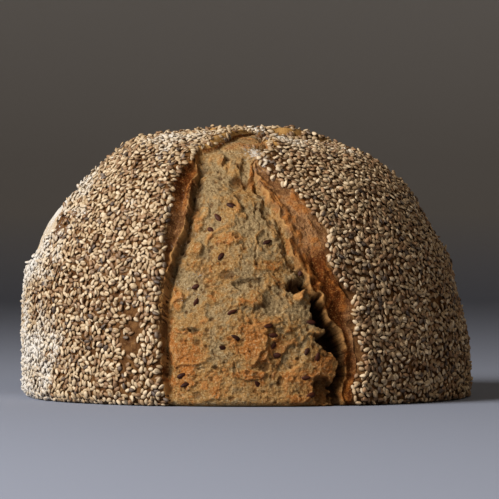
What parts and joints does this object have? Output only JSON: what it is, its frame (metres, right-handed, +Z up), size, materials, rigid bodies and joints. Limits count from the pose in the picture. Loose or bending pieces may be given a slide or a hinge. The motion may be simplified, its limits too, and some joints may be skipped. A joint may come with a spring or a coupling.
{
  "type": "round seeded rye bread loaf",
  "caption": "Tall round rye loaf with a sesame-seeded crust, scored with a cross that burst open to show rough crumb, standing on its flat base.",
  "frame": {"origin": "centre of the bounding box on the flat underside, where the loaf stands", "axes": "+Z up through the domed top, -Y towards the wide burst that faces the viewer, +X to the viewer's right"},
  "size_m": [0.2032, 0.2002, 0.1241],
  "materials": {
    "seeded_crust": null
  },
  "bodies": {
    "root": {"loaf": "seeded_crust"}
  },
  "joints": []
}
